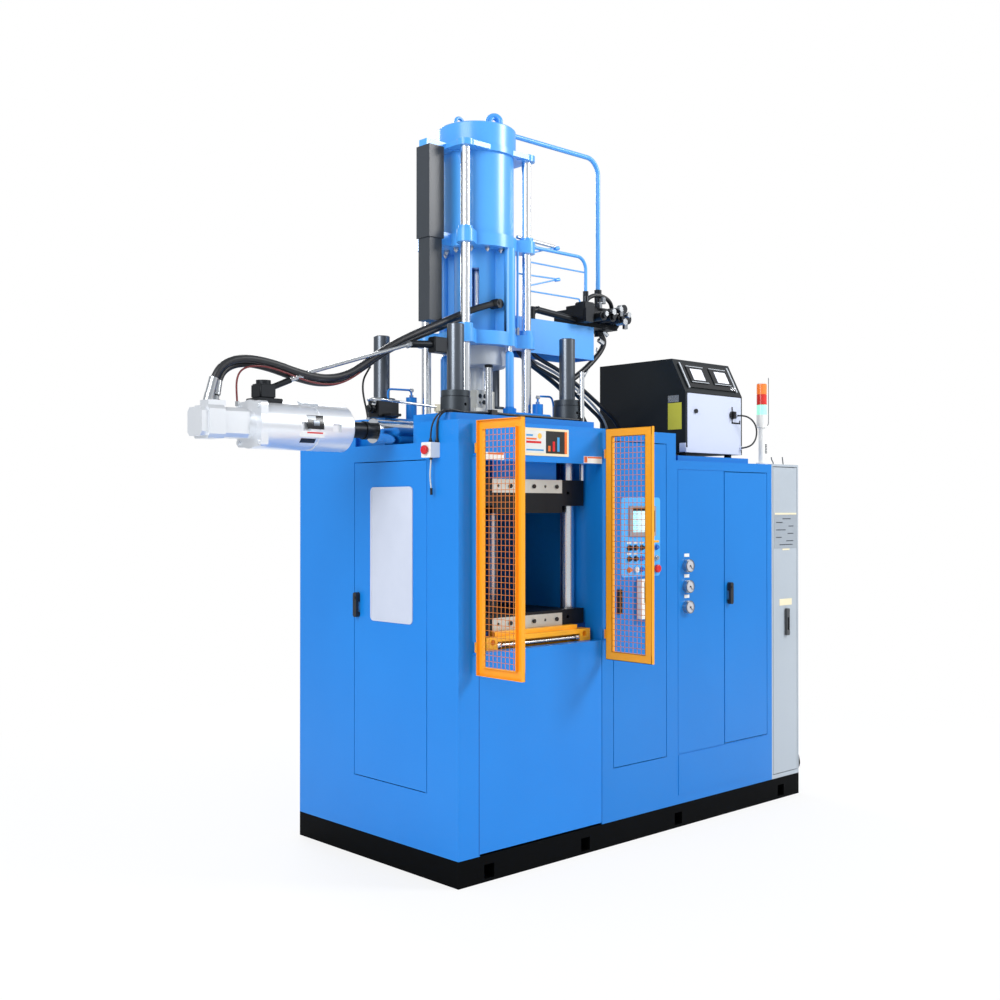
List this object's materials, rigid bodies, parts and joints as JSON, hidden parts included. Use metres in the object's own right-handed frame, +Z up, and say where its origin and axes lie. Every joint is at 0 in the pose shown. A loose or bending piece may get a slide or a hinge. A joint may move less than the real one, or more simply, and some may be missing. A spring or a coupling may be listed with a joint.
{
  "type": "injection moulding machine",
  "caption": "Vertical rubber injection moulding press: tie-bar clamp with guard leaves, upright injection unit, side plasticiser, control, hydraulic and grey cabinets.",
  "frame": {"origin": "middle of the underside of the base", "axes": "+Z up, +X along the front to the cabinets, +Y into the machine from its front"},
  "size_m": [3.603, 1.514, 3.55],
  "materials": {
    "blue_paint": "semi gloss",
    "dark_blue_paint": "semi gloss",
    "base_paint": "satin",
    "grey_paint": "semi gloss",
    "orange_paint": "gloss",
    "yellow_paint": "gloss",
    "chrome_bar": "polished",
    "dark_steel": "machined, oiled",
    "black_oxide": "blackened",
    "bright_steel": "machined",
    "silver_paint": "satin",
    "white_plate": "satin",
    "window_pane": "smooth",
    "black_plastic": "fine grain",
    "screen": "smooth",
    "red_plastic": "smooth",
    "pale_plastic": "fine grain",
    "signal_lens": "ribbed",
    "white_button": "smooth",
    "hose_rubber": "cloth cover",
    "gauge_metal": "polished"
  },
  "bodies": {
    "frame": {"base_frame": "base_paint", "press_housing": "blue_paint", "front_panel": "blue_paint", "bay_liner": "dark_blue_paint", "control_cabinet": "blue_paint", "power_cabinet": "blue_paint", "pressure_gauges": "gauge_metal", "grey_cabinet": "grey_paint", "crown": "blue_paint", "tie_bars": "chrome_bar", "tie_bar_nuts": "black_oxide", "clamp_cylinder": "dark_blue_paint", "upper_heating_plate": "white_plate", "upper_adaptor": "black_oxide", "lift_rods": "blue_paint", "signal_tower": "pale_plastic", "signal_lenses": "signal_lens", "controller_case": "black_plastic", "controller_front": "white_plate", "estop_box": "pale_plastic", "arm_hose": "hose_rubber", "estop_cable": "hose_rubber", "isolator_cable": "hose_rubber"},
    "clamp": {"clamp_ram": "chrome_bar", "moving_platen": "dark_blue_paint", "lower_heating_plate": "white_plate", "lower_adaptor": "black_oxide", "ejector_frame": "yellow_paint", "ejector_bar": "chrome_bar"},
    "injector": {"injector_rods": "chrome_bar", "injector_cylinder": "blue_paint", "injector_cap": "blue_paint", "injector_yoke": "blue_paint", "injection_ring": "bright_steel", "injection_head": "bright_steel", "cable_duct": "dark_steel", "arm_box": "blue_paint", "valve_manifold": "black_oxide", "oil_pipes": "blue_paint", "plasticiser_barrel": "bright_steel", "screw_coupling": "black_oxide", "gear_housing": "silver_paint", "hydraulic_motor": "silver_paint", "motor_hose": "hose_rubber"},
    "plunger": {"plunger": "chrome_bar"},
    "access_door": {"access_door": "blue_paint", "access_window": "window_pane"},
    "access_handle": {"access_handle": "black_plastic"},
    "left_guard": {"left_guard": "orange_paint"},
    "right_guard": {"right_guard": "orange_paint"},
    "control_door": {"control_door": "blue_paint", "touch_screen": "screen"},
    "panel_estop": {"panel_estop": "red_plastic"},
    "mode_selector": {"mode_selector": "black_plastic"},
    "start_button": {"start_button": "white_button"},
    "power_door": {"power_door": "blue_paint"},
    "power_handle": {"power_handle": "black_plastic"},
    "grey_door": {"grey_door": "grey_paint"},
    "box_estop": {"box_estop": "red_plastic"},
    "isolator_knob": {"isolator_knob": "black_plastic"}
  },
  "joints": [
    {"name": "clamp_slide", "type": "slide", "parent": "frame", "child": "clamp", "axis": [0, 0, 1], "range_m": [0, 0.4]},
    {"name": "injector_lift", "type": "slide", "parent": "frame", "child": "injector", "axis": [0, 0, 1], "range_m": [0, 0.15]},
    {"name": "plunger_stroke", "type": "slide", "parent": "injector", "child": "plunger", "axis": [0, 0, 1], "range_m": [0, 0.15]},
    {"name": "access_door_hinge", "type": "hinge", "parent": "frame", "child": "access_door", "pos_m": [-1.294, -0.383, 1], "axis": [0, 0, 1], "range_deg": [0, 105]},
    {"name": "access_handle_turn", "type": "hinge", "parent": "access_door", "child": "access_handle", "pos_m": [-1.3, 0.114, 1.215], "axis": [-1, 0, 0], "range_deg": [0, 90]},
    {"name": "left_guard_hinge", "type": "hinge", "parent": "frame", "child": "left_guard", "pos_m": [-1.208, -0.618, 1], "axis": [0, 0, 1], "range_deg": [0, 90]},
    {"name": "right_guard_hinge", "type": "hinge", "parent": "frame", "child": "right_guard", "pos_m": [-0.37, -0.618, 1], "axis": [0, 0, 1], "range_deg": [-90, 0]},
    {"name": "control_door_hinge", "type": "hinge", "parent": "frame", "child": "control_door", "pos_m": [0.097, -0.598, 1], "axis": [0, 0, 1], "range_deg": [0, 105]},
    {"name": "panel_estop_press", "type": "slide", "parent": "control_door", "child": "panel_estop", "axis": [0, 1, 0], "range_m": [0, 0.005], "stiffness_N_per_m": 800},
    {"name": "mode_selector_turn", "type": "hinge", "parent": "control_door", "child": "mode_selector", "pos_m": [-0.188, -0.604, 1.442], "axis": [0, 1, 0], "range_deg": [-45, 45]},
    {"name": "start_button_press", "type": "slide", "parent": "control_door", "child": "start_button", "axis": [0, 1, 0], "range_m": [0, 0.005], "stiffness_N_per_m": 800},
    {"name": "power_door_hinge", "type": "hinge", "parent": "frame", "child": "power_door", "pos_m": [0.98, -0.598, 1], "axis": [0, 0, 1], "range_deg": [0, 105]},
    {"name": "power_handle_turn", "type": "hinge", "parent": "power_door", "child": "power_handle", "pos_m": [0.632, -0.604, 1.214], "axis": [0, -1, 0], "range_deg": [0, 90]},
    {"name": "grey_door_hinge", "type": "hinge", "parent": "frame", "child": "grey_door", "pos_m": [1.278, -0.598, 1], "axis": [0, 0, 1], "range_deg": [0, 105]},
    {"name": "box_estop_press", "type": "slide", "parent": "frame", "child": "box_estop", "axis": [1, 0, 0], "range_m": [0, 0.005], "stiffness_N_per_m": 800},
    {"name": "isolator_turn", "type": "hinge", "parent": "frame", "child": "isolator_knob", "pos_m": [0.766, -0.529, 2.15], "axis": [0, 1, 0], "range_deg": [0, 90]}
  ]
}
